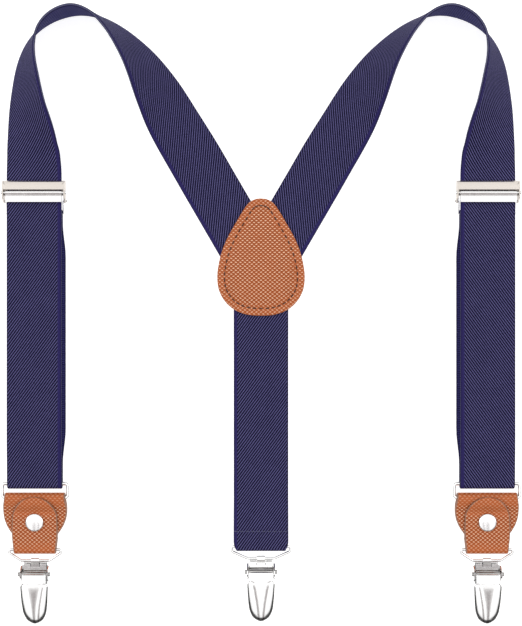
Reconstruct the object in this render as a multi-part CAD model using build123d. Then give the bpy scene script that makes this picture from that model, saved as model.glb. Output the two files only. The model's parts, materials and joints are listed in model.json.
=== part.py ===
from build123d import *
import os
from math import cos, hypot, pi, radians, sin

os.makedirs("parts", exist_ok=True)

# Y-back suspenders lying flat on a table. Millimetres, Z up, +Y towards the shoulders,
# -Y towards the three clips. The left front strap is at -X, the right one is its mirror image.

# ---- webbing ----
webbing_width = 25.4
webbing_thickness = 1.3
front_strap_x = -104.9
front_layer_height = 4.0

# ---- leather ----
leather_thickness = 1.2
tab_half_width = 10.5
tab_fold_half_width = 9.8
tab_tip_y = -85.1
tab_bottom_fold_y = -109.8
tab_back_height = 0.1

# ---- ring between webbing and leather ----
ring_wire_radius = 0.9
ring_fold_radius = 1.05
ring_half_width = 15.2
ring_corner = 1.1
ring_top_y = -79.2
ring_bottom_y = -85.6
ring_height = 2.35

# ---- adjuster on each front strap ----
adjuster_pin_y = 55.5
adjuster_pin_height = 6.5
adjuster_pin_radius = 0.6
adjuster_half_width = 14.5
adjuster_sheet = 0.6
adjuster_top_y = 61.1
adjuster_band_bottom_y = 56.9
adjuster_plate_bottom_y = 54.4
adjuster_loop_bar_y = 46.1
adjuster_loop_hinge_y = 52.0
adjuster_loop_height = 1.85
adjuster_loop_hinge_height = 2.6
adjuster_loop_wire = 0.5
adjuster_loop_half = 13.25
lever_half_width = 12.9

# ---- clip ----
clip_wire_radius = 0.7
running_clearance = 0.05
clip_barrel_radius = 1.05
clip_floor = 0.15
clip_barrel_half = 2.0
clip_bar_height = 1.6
clip_pin_drop = 5.8
clip_pin_height = 5.0
clip_pin_radius = 0.7
clip_ear_inner = 5.9
clip_ear_outer = 6.5
clip_shell_half_width = 7.3
clip_shell_wall = 0.7
clip_shell_start = 10.3
clip_shell_end = 29.7
front_clip_bar_y = -115.0
back_clip_bar_y = -113.9
back_fold_y = -108.4
fold_bar_height = 2.1
clip_loop_bar_half = 6.6
front_loop_side = 1.7
back_loop_side = 2.4

# ---- back patch ----
patch_gap_low = 1.2
patch_gap_high = 2.75
patch_stitch_inset = 3.4
patch_stitch_count = 46

# The whole layout moves by this much so that its box is centred on the origin.
layout_shift_y = 2.5


def curve_through(points, steps):
    """Smooth run through every point; points are tuples of any length."""
    run = []
    last = len(points) - 1
    for i in range(last):
        before = points[max(i - 1, 0)]
        after = points[min(i + 2, last)]
        for k in range(steps):
            t = k / steps
            run.append(
                tuple(
                    0.5 * (2 * b + (c - a) * t + (2 * a - 5 * b + 4 * c - d) * t * t
                           + (3 * b - a - 3 * c + d) * t ** 3)
                    for a, b, c, d in zip(before, points[i], points[i + 1], after)
                )
            )
    run.append(tuple(points[-1]))
    return run


def arc_points(centre, radius, start_deg, end_deg, steps=16):
    """Points on an arc in the side view (Y, Z)."""
    points = []
    for k in range(steps + 1):
        a = radians(start_deg + (end_deg - start_deg) * k / steps)
        points.append((centre[0] + radius * cos(a), centre[1] + radius * sin(a)))
    return points


def ribbon(path, thickness, x_centre, width):
    """A strip of the given thickness that follows a side-view path of (y, z) points."""
    above = []
    below = []
    last = len(path) - 1
    for i, (y, z) in enumerate(path):
        y0, z0 = path[max(i - 1, 0)]
        y1, z1 = path[min(i + 1, last)]
        length = hypot(y1 - y0, z1 - z0)
        ny = -(z1 - z0) / length * thickness / 2
        nz = (y1 - y0) / length * thickness / 2
        above.append((y + ny, z + nz))
        below.append((y - ny, z - nz))
    outline = above + below[::-1]
    side_view = Plane(origin=(x_centre - width / 2, 0, 0), x_dir=(0, 1, 0), z_dir=(1, 0, 0))
    face = make_face(side_view * Polyline(*outline, close=True))
    return extrude(face, amount=width, dir=(1, 0, 0))


def cylinder_x(x_from, x_to, y, z, radius):
    """A round bar along X."""
    middle = Location(((x_from + x_to) / 2, y, z), (0, 90, 0))
    return middle * Cylinder(radius, x_to - x_from)


def box_between(low, high):
    size = [h - l for l, h in zip(low, high)]
    centre = [(h + l) / 2 for l, h in zip(low, high)]
    return Location(tuple(centre)) * Box(*size)


def prism_x(outline, x_from, x_to):
    """A plate along X with a side-view outline of (y, z) points."""
    side_view = Plane(origin=(x_from, 0, 0), x_dir=(0, 1, 0), z_dir=(1, 0, 0))
    face = make_face(side_view * Polyline(*outline, close=True))
    return extrude(face, amount=x_to - x_from, dir=(1, 0, 0))


def column(plane, outline, height):
    """An upright block with the given plan outline."""
    return extrude(make_face(plane * Polyline(*outline, close=True)), amount=height, dir=(0, 0, 1))


# ---- shoulder straps ----
# Each station is the strap's outer edge: x, y, roll in degrees (0 flat, 90 on edge) and lift.
# The strap leaves the ring, passes the adjuster, stands on its outer edge round the shoulder
# and lies flat again under the back patch.
outer_x = front_strap_x - webbing_width / 2
ring_front_lift = webbing_thickness + 2 * ring_fold_radius
strap_stations = [
    (outer_x, ring_top_y + 0.1, 0, ring_front_lift),
    (outer_x, -70, 0, 3.6),
    (outer_x, -58, 0, front_layer_height),
    (outer_x, -20, 0, front_layer_height),
    (outer_x, 20, 0, front_layer_height),
    (outer_x, 56, 0, front_layer_height),
    (outer_x, 64, 0, front_layer_height),
    (outer_x, 71, 7, 3.0),
    (outer_x, 80, 19, 1.5),
    (-116.4, 98, 43, 0.2),
    (-113.0, 116, 61, 0),
    (-106.9, 128, 74, 0),
    (-98.0, 135.2, 84, 0),
    (-87.0, 138.8, 88, 0),
    (-77.0, 138.2, 84, 0),
    (-67.0, 134.0, 75, 0),
    (-57.0, 127.1, 63, 0),
    (-47.6, 118.4, 49, 0),
    (-38.0, 106.6, 31, 0.1),
    (-29.4, 93.4, 16, 0.3),
    (-20.6, 79.4, 6, 0.8),
    (-11.7, 64.1, 0, 1.35),
    (0.0, 44.0, 0, 1.35),
    (11.9, 23.5, 0, 1.35),
]


def section(station, heading):
    """Rectangle across the strap, with its outer edge at the station."""
    x, y, roll, lift = station
    length = hypot(*heading)
    hx, hy = heading[0] / length, heading[1] / length
    inward = (hy, -hx)
    c, s = cos(radians(roll)), sin(radians(roll))
    across = (inward[0] * c, inward[1] * c, s)
    half = webbing_width / 2
    lift = max(lift, 0)
    middle = (
        x + across[0] * half,
        y + across[1] * half,
        lift + webbing_thickness / 2 * c + across[2] * half,
    )
    plane = Plane(origin=middle, x_dir=across, z_dir=(hx, hy, 0))
    return plane * Rectangle(webbing_width, webbing_thickness)


def shoulder_strap():
    run = curve_through(strap_stations, 3)
    sections = []
    for i, station in enumerate(run):
        before = run[max(i - 1, 0)]
        after = run[min(i + 1, len(run) - 1)]
        sections.append(section(station, (after[0] - before[0], after[1] - before[1])))
    strap = loft(sections, ruled=True)
    # The two shoulder straps meet edge to edge on the centre line, above the back strap.
    keep = box_between((-130, 20.0, -1), (-0.1, 150, 40))
    keep += box_between((-130, -90, -1), (-40, 20.0, 40))
    return strap & keep


# ---- return layer: round the ring, up behind the front layer, round the adjuster's wire ----
half_webbing = webbing_thickness / 2
return_path = arc_points((ring_top_y, ring_height), ring_fold_radius + half_webbing, 90, 270)
return_path += arc_points(
    (adjuster_loop_bar_y, adjuster_loop_height), adjuster_loop_wire + 0.05 + half_webbing, -90, 90
)
return_path += [(45.0, 2.95), (43.4, 2.5), (41.8, 2.1), (40.4, 1.98), (38.0, 1.98)]


def return_strap():
    return ribbon(return_path, webbing_thickness, front_strap_x, webbing_width)


# ---- wire pieces ----
def wire_piece(corners, corner_radius, radius, plane):
    """A bent wire with its two ends meeting at the middle of the first side."""
    path = plane * FilletPolyline(*corners, radius=corner_radius)
    start = Plane(origin=path @ 0, z_dir=path % 0)
    return sweep(start * Circle(radius), path=path)


def ring():
    half = ring_half_width
    depth = ring_top_y - ring_bottom_y
    corners = [(0.05, 0), (half, 0), (half, depth), (-half, depth), (-half, 0), (-0.05, 0)]
    plane = Plane(origin=(front_strap_x, ring_bottom_y, ring_height))
    return wire_piece(corners, ring_corner, ring_wire_radius, plane)


def clip_loop(x, top_y, bar_y, top_half, side_length):
    depth = hypot(top_y - bar_y, fold_bar_height - clip_bar_height)
    rise = (fold_bar_height - clip_bar_height) / depth
    shoulder = depth - side_length
    bar_half = clip_loop_bar_half
    corners = [(0.05, 0), (bar_half, 0), (top_half, shoulder), (top_half, depth), (-top_half, depth),
               (-top_half, shoulder), (-bar_half, 0), (-0.05, 0)]
    plane = Plane(
        origin=(x, bar_y, clip_bar_height), x_dir=(1, 0, 0), z_dir=(0, -rise, (top_y - bar_y) / depth)
    )
    return wire_piece(corners, 0.8, clip_wire_radius, plane)


def adjuster_loop():
    """Wire that carries the sewn end of the webbing; its ends turn out into the frame's ears."""
    half = adjuster_loop_half
    depth = adjuster_loop_hinge_y - adjuster_loop_bar_y
    rise = adjuster_loop_hinge_height - adjuster_loop_height
    slope = hypot(depth, rise)
    corners = [(adjuster_half_width + 0.5, slope), (half, slope), (half, 0), (-half, 0),
               (-half, slope), (-adjuster_half_width - 0.5, slope)]
    plane = Plane(
        origin=(front_strap_x, adjuster_loop_bar_y, adjuster_loop_height),
        x_dir=(1, 0, 0), z_dir=(0, -rise / slope, depth / slope),
    )
    return wire_piece(corners, 0.55, adjuster_loop_wire, plane)


# ---- adjuster ----
def adjuster_frame():
    x = front_strap_x
    outer = adjuster_half_width
    inner = outer - adjuster_sheet
    side = [(50.9, 1.8), (53.2, 1.7), (60.4, 3.2), (61.1, 4.2), (61.1, 6.2), (60.2, 7.2),
            (54.4, 7.8), (52.8, 7.3), (51.2, 4.4)]
    body = prism_x(side, x - outer, x - inner) + prism_x(side, x + inner, x + outer)
    body += box_between((x - outer, adjuster_plate_bottom_y, 3.2), (x + outer, adjuster_top_y, 3.8))
    band = [(adjuster_band_bottom_y, 6.3), (60.9, 5.7), (61.1, 6.0), (60.4, 7.0), (59.0, 7.4),
            (adjuster_band_bottom_y, 7.35)]
    body += prism_x(band, x - outer, x + outer)
    pin_hole = adjuster_pin_radius + 0.03
    body -= cylinder_x(x - 20, x + 20, adjuster_pin_y, adjuster_pin_height, pin_hole)
    wire_hole = adjuster_loop_wire + running_clearance
    body -= cylinder_x(x - 20, x + 20, adjuster_loop_hinge_y, adjuster_loop_hinge_height, wire_hole)
    return body


def adjuster_pin():
    x = front_strap_x
    reach = adjuster_half_width + 0.3
    pin = cylinder_x(x - reach, x + reach, adjuster_pin_y, adjuster_pin_height, adjuster_pin_radius)
    for side in (-1, 1):
        ends = sorted((x + side * (adjuster_half_width + 0.04), x + side * (reach + 0.2)))
        pin += cylinder_x(*ends, adjuster_pin_y, adjuster_pin_height, 0.95)
    return pin


def adjuster_lever():
    """Flap that turns on the pin; the ridged cam under it bites the front layer."""
    x = front_strap_x
    y, z = adjuster_pin_y, adjuster_pin_height
    half = lever_half_width
    lever = cylinder_x(x - half, x + half, y, z, 1.0)
    flap = [(y + 0.2, z + 0.98), (y - 2.7, z + 0.75), (51.2, z + 0.2), (51.0, z - 0.3),
            (51.2, z - 0.45), (y - 2.6, z + 0.1), (y - 0.5, z)]
    lever += prism_x(flap, x - half, x + half)
    ridge = [(y - 0.5, z - 0.8), (y - 0.25, z - 1.12), (y + 0.25, z - 1.12), (y + 0.5, z - 0.8)]
    ridge_count = 9
    pitch = 2.6
    for k in range(ridge_count):
        middle = x + (k - (ridge_count - 1) / 2) * pitch
        lever += prism_x(ridge, middle - 0.7, middle + 0.7)
    bore = adjuster_pin_radius + running_clearance
    return lever - cylinder_x(x - 20, x + 20, y, z, bore)


# ---- leather tab and rivet ----
rivet_y = -97.0
rivet_post_radius = 1.5
rivet_cap_radius = 4.2
rivet_back_radius = 4.0


def leather_tab():
    x = front_strap_x
    back = tab_back_height + leather_thickness / 2
    half_leather = leather_thickness / 2
    upper = [(-103.4, 1.97), (-99.0, 1.97), (-93.2, 1.99), (-90.9, 2.4), (-88.9, 3.22), (-87.2, 3.88)]
    upper += arc_points((ring_bottom_y, ring_height), ring_fold_radius + half_leather, 90, -90)
    upper += [(-99.0, back)]
    lower = [(-98.8, back)]
    fold_radius = clip_wire_radius + 0.1 + half_leather
    lower += arc_points((tab_bottom_fold_y, fold_bar_height), fold_radius, -90, -270)
    lower += [(-105.0, 3.42), (-101.0, 3.26), (-96.0, 3.24), (-92.5, 3.25), (-90.8, 3.88),
              (-89.1, 4.74), (-87.6, 5.25), (-86.2, 5.38), (tab_tip_y + 0.5, 5.38)]
    lobe = [(0, -82.0), (-13.9, -82.0), (-14.0, -85.2), (-14.3, -87.2), (-14.7, -89.2), (-14.8, -91.2),
            (-14.7, -93.4), (-14.2, -96.0), (-13.1, -98.8), (-11.6, -101.3), (-10.5, -102.6),
            (-10.3, -103.4), (0, -103.4)]
    outline = lobe + [(-px, py) for px, py in lobe[-2:0:-1]]
    plan = Plane(origin=(x, 0, -1))
    lobe_column = column(plan, outline, 12)
    tip_centre_y = tab_tip_y - tab_half_width
    tongue_column = Location((x, tip_centre_y, 5)) * Cylinder(tab_half_width, 12)
    side = [(0, tip_centre_y), (tab_half_width, tip_centre_y), (tab_half_width, -105.0),
            (tab_fold_half_width, -108.0), (tab_fold_half_width, -113), (0, -113)]
    tongue_column += column(plan, side + [(-px, py) for px, py in side[-2:0:-1]], 12)
    tab = ribbon(upper, leather_thickness, x, 40) & lobe_column
    tab += ribbon(lower, leather_thickness, x, 40) & tongue_column
    tab -= Location((x, rivet_y, 3)) * Cylinder(rivet_post_radius + 0.05, 12)
    tab -= Location((x, rivet_y, 0.3)) * Cylinder(rivet_back_radius + 0.1, 0.6)
    return tab


def rivet_cap():
    """Domed head with its post."""
    head_low = 3.9
    post = [(0, 0.3), (rivet_post_radius, 0.3), (rivet_post_radius, head_low)]
    head = [(rivet_cap_radius - 0.1, head_low), (rivet_cap_radius, head_low + 0.3),
            (3.7, head_low + 0.8), (2.6, head_low + 1.15), (1.3, head_low + 1.35), (0, head_low + 1.4)]
    half = make_face(Plane.XZ * Polyline(*post, *head, close=True))
    return Location((front_strap_x, rivet_y, 0)) * revolve(half, Axis.Z)


def rivet_back():
    """Flat disc let into the back of the tab, round the end of the post."""
    disc = Location((front_strap_x, rivet_y, 0.34)) * Cylinder(rivet_back_radius, 0.46)
    return disc - Location((front_strap_x, rivet_y, 0.34)) * Cylinder(rivet_post_radius + 0.03, 3)


# ---- clip ----
def clip_base(x, bar_y):
    """Back plate: narrow barrel round the wire, two ears for the pin and a toothed lower lip."""
    half = clip_barrel_half
    barrel = cylinder_x(x - half, x + half, bar_y, clip_bar_height, clip_barrel_radius)
    floor = clip_floor
    plate = box_between((x - 5.4, bar_y - 27.0, floor), (x + 5.4, bar_y - 0.9, floor + 0.7))
    plate += box_between((x - half, bar_y - 1.2, floor), (x + half, bar_y, floor + 0.7))
    web = box_between(
        (x - clip_ear_outer, bar_y - 9.5, floor), (x + clip_ear_outer, bar_y - 2.2, floor + 0.7)
    )
    base = barrel + plate + web
    pin_y = bar_y - clip_pin_drop
    ear = [(bar_y - 2.2, floor), (bar_y - 9.5, floor), (bar_y - 9.5, 3.0), (pin_y - 1.7, 6.1),
           (pin_y - 0.8, 6.6), (pin_y + 0.8, 6.6), (pin_y + 1.7, 5.6), (bar_y - 2.2, 3.0)]
    for side in (-1, 1):
        ends = sorted((x + side * clip_ear_inner, x + side * clip_ear_outer))
        base += prism_x(ear, *ends)
    tooth = [(bar_y - 26.6, floor), (bar_y - 27.3, floor), (bar_y - 27.3, 1.7), (bar_y - 27.0, 2.0)]
    tooth_count = 5
    pitch = 1.7
    for k in range(tooth_count):
        middle = x + (k - (tooth_count - 1) / 2) * pitch
        base += prism_x(tooth, middle - 0.5, middle + 0.5)
    base -= cylinder_x(x - 20, x + 20, bar_y, clip_bar_height, clip_wire_radius + running_clearance)
    return base - cylinder_x(x - 20, x + 20, pin_y, clip_pin_height, clip_pin_radius + 0.03)


def clip_pin(x, bar_y):
    y = bar_y - clip_pin_drop
    reach = clip_ear_outer + 0.3
    pin = cylinder_x(x - reach, x + reach, y, clip_pin_height, clip_pin_radius)
    for side in (-1, 1):
        ends = sorted((x + side * (clip_ear_outer + 0.03), x + side * (reach + 0.6)))
        pin += cylinder_x(*ends, y, clip_pin_height, 0.95)
    return pin


def clip_jaw(x, bar_y):
    """Inner jaw: a spring tongue hooked over the barrel, and a plate down to the pad."""
    half_sheet = 0.22
    middle_radius = clip_barrel_radius + 0.08 + half_sheet
    hook = arc_points((bar_y, clip_bar_height), middle_radius, 35, 120)
    hook += [(bar_y - 1.8, 2.36), (bar_y - 2.6, 2.2), (bar_y - 3.6, 2.2)]
    tongue = ribbon(hook, 2 * half_sheet, x, 3.8)
    plate = box_between((x - 5.2, bar_y - 23.8, 1.9), (x + 5.2, bar_y - 2.9, 2.5))
    plate += box_between((x - 4.4, bar_y - 26.4, 1.9), (x + 4.4, bar_y - 23.8, 2.5))
    for side in (-1, 1):
        ends = sorted((x + side * 2.15, x + side * 5.2))
        plate += box_between((ends[0], bar_y - 2.9, 1.9), (ends[1], bar_y - 1.5, 2.5))
    return tongue + plate


def clip_pad(x, bar_y):
    """Ribbed plastic grip under the end of the jaw."""
    pad = box_between((x - 4.3, bar_y - 26.2, 1.3), (x + 4.3, bar_y - 19.6, 1.88))
    for k in range(4):
        y = bar_y - 20.1 - k * 1.65
        rib = [(y, 1.3), (y - 0.4, 0.98), (y - 0.8, 1.3)]
        pad += prism_x(rib, x - 4.3, x + 4.3)
    return pad


def shell_outline(inset):
    """Plan of the clip's shell, open at the end of the ears and round at its lower end."""
    half = clip_shell_half_width - inset
    top = -clip_shell_start + inset
    low = -clip_shell_end + inset
    side = [(half, top), (half, -15.6), (half * 0.985, -19.7), (half * 0.93, -23.2),
            (half * 0.8, -26.1), (half * 0.6, low + 1.7), (half * 0.33, low + 0.5), (0, low)]
    return side + [(-px, py) for px, py in side[-2::-1]]


def clip_flap(x, bar_y):
    """Smooth lever shell: narrow knuckle between the ears, wide hollow shell below them."""
    plan = Plane(origin=(x, bar_y, 0))
    outer = column(plan, shell_outline(0), 9)
    hollow = column(plan, shell_outline(clip_shell_wall), 9)
    crown = [(-3.0, 1.4), (-3.0, 6.2), (-6.5, 6.7), (-10.3, 7.05), (-14.5, 7.15), (-19.7, 6.9),
             (-24.2, 6.1), (-27.8, 4.6), (-30.0, 2.9), (-30.0, 1.4)]
    roof = [(y, z - clip_shell_wall) for y, z in crown[1:-1]]
    under = [(-3.0, 0.0)] + roof + [(-30.0, 0.0)]
    crown_prism = prism_x([(bar_y + y, z) for y, z in crown], x - 9, x + 9)
    under_prism = prism_x([(bar_y + y, z) for y, z in under], x - 9, x + 9)
    flap = (outer & crown_prism) - (hollow & under_prism)
    neck_half = clip_ear_inner - 0.3
    pin_y = bar_y - clip_pin_drop
    neck = [(pin_y, 6.29), (bar_y - 8.0, 6.8), (bar_y - 10.8, 7.06), (bar_y - 10.8, 6.38),
            (bar_y - 8.0, 6.1), (pin_y - 1.0, 5.5)]
    flap += prism_x(neck, x - neck_half, x + neck_half)
    flap += cylinder_x(x - neck_half, x + neck_half, pin_y, clip_pin_height, 1.3)
    return flap - cylinder_x(x - 20, x + 20, pin_y, clip_pin_height, clip_pin_radius + running_clearance)


# ---- back strap ----
back_join_y = -84.0


def back_strap():
    path = curve_through([(19.5, 2.0), (8, 2.0), (-4, 1.9), (-12, 1.1), (-22, 0.65)], 4)
    path += [(back_join_y + 0.02, half_webbing)]
    return ribbon(path, webbing_thickness, 0, webbing_width)


def back_strap_end():
    """Lower end, taken round the clip's wire and sewn down behind."""
    fold_radius = clip_wire_radius + 0.1 + half_webbing
    front = fold_bar_height + fold_radius
    path = curve_through(
        [(back_join_y, half_webbing), (-85, half_webbing), (-86.5, 0.72), (-88.5, 1.1), (-93.5, 2.6),
         (-98.0, front), (-102, front)], 4
    )
    path += arc_points((back_fold_y, fold_bar_height), fold_radius, 90, 270)
    path += [(-99.0, half_webbing)]
    half = webbing_width / 2
    narrow = half - 1.3
    side = [(0, -80), (half, -80), (half, -107.6), (half - 0.35, -108.8), (narrow, -110.4),
            (narrow, -112), (0, -112)]
    outline = side + [(-px, py) for px, py in side[-2:0:-1]]
    keep = column(Plane(origin=(0, 0, -1)), outline, 8)
    return ribbon(path, webbing_thickness, 0, webbing_width) & keep


# ---- back patch ----
patch_side = [(0, 53.2), (3.5, 52.5), (6.8, 49.8), (11.4, 42.4), (15.9, 34.2), (18.8, 26.4), (20.3, 18.0),
              (19.6, 10.8), (16.6, 5.2), (12.2, 1.4), (6.4, -0.8), (0, -1.3)]


def patch_outline():
    whole = patch_side + [(-px, py) for px, py in patch_side[-2:0:-1]]
    return Spline(*whole, periodic=True)


def patch_layer(low, high, soft_edge):
    face = make_face(Plane(origin=(0, 0, low)) * patch_outline())
    layer = extrude(face, amount=high - low, dir=(0, 0, 1))
    return fillet(layer.edges().filter_by_position(Axis.Z, high - 0.01, high + 0.01), soft_edge)


def dash(x, y, angle_deg, height, length=1.7, width=0.5, thick=0.3):
    """One visible stitch lying on a surface."""
    return Location((x, y, height + thick / 2), (0, 0, angle_deg)) * Box(length, width, thick)


def patch_stitches():
    """A dashed line of thread, parallel to the edge of the patch."""
    top = patch_gap_high + leather_thickness
    outline = patch_outline()
    stitches = []
    for k in range(patch_stitch_count):
        t = k / patch_stitch_count
        point = outline @ t
        tangent = (outline % t).normalized()
        inward = Vector(tangent.Y, -tangent.X, 0)
        spot = point + inward * patch_stitch_inset
        stitches.append(dash(spot.X, spot.Y, tangent.get_angle(Vector(1, 0, 0)) * (1 if tangent.Y > 0 else -1),
                             top + 0.02))
    return Compound(children=[Compound(s.wrapped) for s in stitches])


def stitch_row(x_centre, y, height, half_width, count):
    stitches = []
    for k in range(count):
        x = x_centre + half_width * (2 * k / (count - 1) - 1)
        stitches.append(dash(x, y, 0, height))
    return Compound(children=[Compound(s.wrapped) for s in stitches])


def return_stitches():
    rows = [stitch_row(front_strap_x, y, 2.66, 10.6, 9) for y in (39.0, 40.0)]
    return Compound(children=rows)


def save(name, shape):
    moved = Location((0, layout_shift_y, 0)) * shape
    export_step(moved, f"parts/{name}.step")


def save_pair(name, shape):
    """Write the left-hand piece and its mirror image."""
    save(f"left_{name}", shape)
    save(f"right_{name}", mirror(shape, about=Plane.YZ))


save_pair("strap", shoulder_strap())
save_pair("strap_return", return_strap())
save_pair("return_stitches", return_stitches())
save_pair("adjuster_frame", adjuster_frame())
save_pair("adjuster_lever", adjuster_lever())
save_pair("adjuster_pin", adjuster_pin())
save_pair("adjuster_loop", adjuster_loop())
save_pair("ring", ring())
save_pair("leather_tab", leather_tab())
save_pair("rivet_cap", rivet_cap())
save_pair("rivet_back", rivet_back())
save("back_strap", back_strap())
save("back_strap_end", back_strap_end())
save("back_strap_stitches", stitch_row(0, -101.1, fold_bar_height + 2.12, 11.4, 10))
save("back_patch_front", patch_layer(patch_gap_high, patch_gap_high + leather_thickness, 0.5))
save("back_patch_back", patch_layer(0, patch_gap_low, 0.2))
save("back_patch_stitches", patch_stitches())

for side in ("left", "right", "back"):
    x = {"left": front_strap_x, "right": -front_strap_x, "back": 0}[side]
    bar_y = back_clip_bar_y if side == "back" else front_clip_bar_y
    top_y = back_fold_y if side == "back" else tab_bottom_fold_y
    top_half = 13.6 if side == "back" else 12.0
    side_length = back_loop_side if side == "back" else front_loop_side
    save(f"{side}_clip_loop", clip_loop(x, top_y, bar_y, top_half, side_length))
    save(f"{side}_clip_base", clip_base(x, bar_y))
    save(f"{side}_clip_pin", clip_pin(x, bar_y))
    save(f"{side}_clip_jaw", clip_jaw(x, bar_y))
    save(f"{side}_clip_pad", clip_pad(x, bar_y))
    save(f"{side}_clip_flap", clip_flap(x, bar_y))
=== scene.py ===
import json
import math

import bmesh
import bpy
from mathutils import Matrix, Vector, noise


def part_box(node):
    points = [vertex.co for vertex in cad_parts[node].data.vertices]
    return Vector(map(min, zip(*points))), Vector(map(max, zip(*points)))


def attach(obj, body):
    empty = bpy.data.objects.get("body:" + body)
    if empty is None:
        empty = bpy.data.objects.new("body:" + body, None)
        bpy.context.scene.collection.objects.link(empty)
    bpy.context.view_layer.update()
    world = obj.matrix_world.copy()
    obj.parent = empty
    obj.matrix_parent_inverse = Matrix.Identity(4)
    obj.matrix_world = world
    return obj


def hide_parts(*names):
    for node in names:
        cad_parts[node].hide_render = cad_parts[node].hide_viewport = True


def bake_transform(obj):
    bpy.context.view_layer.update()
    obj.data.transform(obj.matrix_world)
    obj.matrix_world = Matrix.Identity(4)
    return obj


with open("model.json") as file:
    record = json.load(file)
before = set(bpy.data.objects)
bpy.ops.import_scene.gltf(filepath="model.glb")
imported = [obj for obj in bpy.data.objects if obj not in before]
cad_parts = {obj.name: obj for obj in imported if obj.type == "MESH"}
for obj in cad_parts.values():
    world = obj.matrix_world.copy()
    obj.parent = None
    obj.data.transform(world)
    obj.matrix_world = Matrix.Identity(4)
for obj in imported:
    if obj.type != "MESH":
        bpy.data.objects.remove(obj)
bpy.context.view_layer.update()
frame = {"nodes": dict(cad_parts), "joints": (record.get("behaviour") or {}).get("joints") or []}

# Clip-on suspenders lying flat. Shapes are worked out in millimetres and written in metres.
MM = 0.001
joint_of = {j["name"]: j for j in frame["joints"]}


def joint_at(name):
    """Where a joint's axis is, in mm."""
    return Vector([c / MM for c in joint_of[name]["pos_m"]])


ring_bar = joint_at("left_ring_swing")
tab_bar = joint_at("left_tab_swing")
tab_fold = joint_at("left_clip_loop_swing")
back_fold = joint_at("back_clip_loop_swing")
front_x = ring_bar.x
# The route numbers below are those of the CAD source, before its layout was centred in Y.
SHIFT = ring_bar.y + 79.2

WEB_WIDTH = 25.4
WEB_HALF = WEB_WIDTH / 2
WEB_THICK = 1.3
ON_TABLE = WEB_THICK / 2  # middle of webbing that lies flat
LEATHER = 1.2


# ---- geometry helpers


def spline(four, t):
    """A point between the middle two of four neighbours."""
    return tuple(0.5 * (2 * b + (c - a) * t + (2 * a - 5 * b + 4 * c - d) * t * t
                        + (3 * b - a - 3 * c + d) * t ** 3) for a, b, c, d in zip(*four))


def curve_through(points, steps):
    """Smooth run through every point."""
    last = len(points) - 1
    run = []
    for i in range(last):
        four = points[max(i - 1, 0)], points[i], points[i + 1], points[min(i + 2, last)]
        run += [spline(four, k / steps) for k in range(steps)]
    return run + [tuple(points[-1])]


def arc(centre, radius, start_deg, end_deg, steps=14):
    """Points on an arc, in the plane of a side view."""
    out = []
    for k in range(steps + 1):
        a = math.radians(start_deg + (end_deg - start_deg) * k / steps)
        out.append((centre[0] + radius * math.cos(a), centre[1] + radius * math.sin(a)))
    return out


def smoothstep(low, high, value):
    """0 below low, 1 above high, eased between."""
    t = min(max((value - low) / (high - low), 0.0), 1.0)
    return t * t * (3 - 2 * t)


def between(table, value):
    """Straight-line reading of a table of (key, value) rows."""
    rows = sorted(table)
    if value <= rows[0][0]:
        return rows[0][1]
    for (k0, v0), (k1, v1) in zip(rows, rows[1:]):
        if value <= k1:
            return v0 + (v1 - v0) * (value - k0) / (k1 - k0)
    return rows[-1][1]


def link(name, mesh):
    """A new object in the scene."""
    obj = bpy.data.objects.new(name, mesh)
    bpy.context.scene.collection.objects.link(obj)
    return obj


def ring_faces(rings, count, base=0, closed=False):
    """Quads between rings of count vertices that follow one another."""
    faces = []
    for i in range(rings if closed else rings - 1):
        a, b = base + i * count, base + (i + 1) % rings * count
        for k in range(count):
            m = (k + 1) % count
            faces.append((a + k, a + m, b + m, b + k))
    return faces


def make_mesh(name, verts, faces, materials, face_slots=None, uvs=None, grain=None, mirror=False,
              sharp_deg=40):
    """verts in mm. uvs: one (u, v) per corner of each face, in mm. grain: one number per vertex."""
    flip = -1 if mirror else 1
    mesh = bpy.data.meshes.new(name)
    mesh.from_pydata([(flip * v[0] * MM, v[1] * MM, v[2] * MM) for v in verts], [], faces)
    for material in materials:
        mesh.materials.append(material)
    if face_slots:
        mesh.polygons.foreach_set("material_index", face_slots)
    if uvs:
        layer = mesh.uv_layers.new(name="strip")
        layer.data.foreach_set("uv", [c for face in uvs for pair in face for c in pair])
    if grain:
        mesh.attributes.new("grain", "FLOAT", "POINT").data.foreach_set("value", grain)
    bm = bmesh.new()
    bm.from_mesh(mesh)
    bmesh.ops.recalc_face_normals(bm, faces=bm.faces)
    bm.to_mesh(mesh)
    bm.free()
    mesh.shade_smooth()
    mesh.set_sharp_from_angle(angle=math.radians(sharp_deg))
    return link(name, mesh)


def strip_profile(half, thick, round_by, top_count, widest):
    """Closed outline across a strip: (across, up, u, kind), kind 0 face, 1 edge, 2 reverse."""
    round_by = min(round_by, half * 0.9)
    flat = half - round_by
    points = []
    for k in range(top_count):
        a = flat * (2 * k / (top_count - 1) - 1)
        points.append((a, thick / 2, a + widest, 0))
    arc_steps = 5
    for k in range(1, arc_steps):
        t = math.pi / 2 - math.pi * k / arc_steps
        points.append((flat + round_by * math.cos(t), thick / 2 * math.sin(t),
                       2 * widest + thick * k / arc_steps, 1))
    for k in range(top_count):
        a = flat * (1 - 2 * k / (top_count - 1))
        points.append((a, -thick / 2, a + widest, 2))
    for k in range(1, arc_steps):
        t = -math.pi / 2 - math.pi * k / arc_steps
        points.append((-flat + round_by * math.cos(t), thick / 2 * math.sin(t),
                       -thick * (1 - k / arc_steps), 1))
    return points


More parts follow.
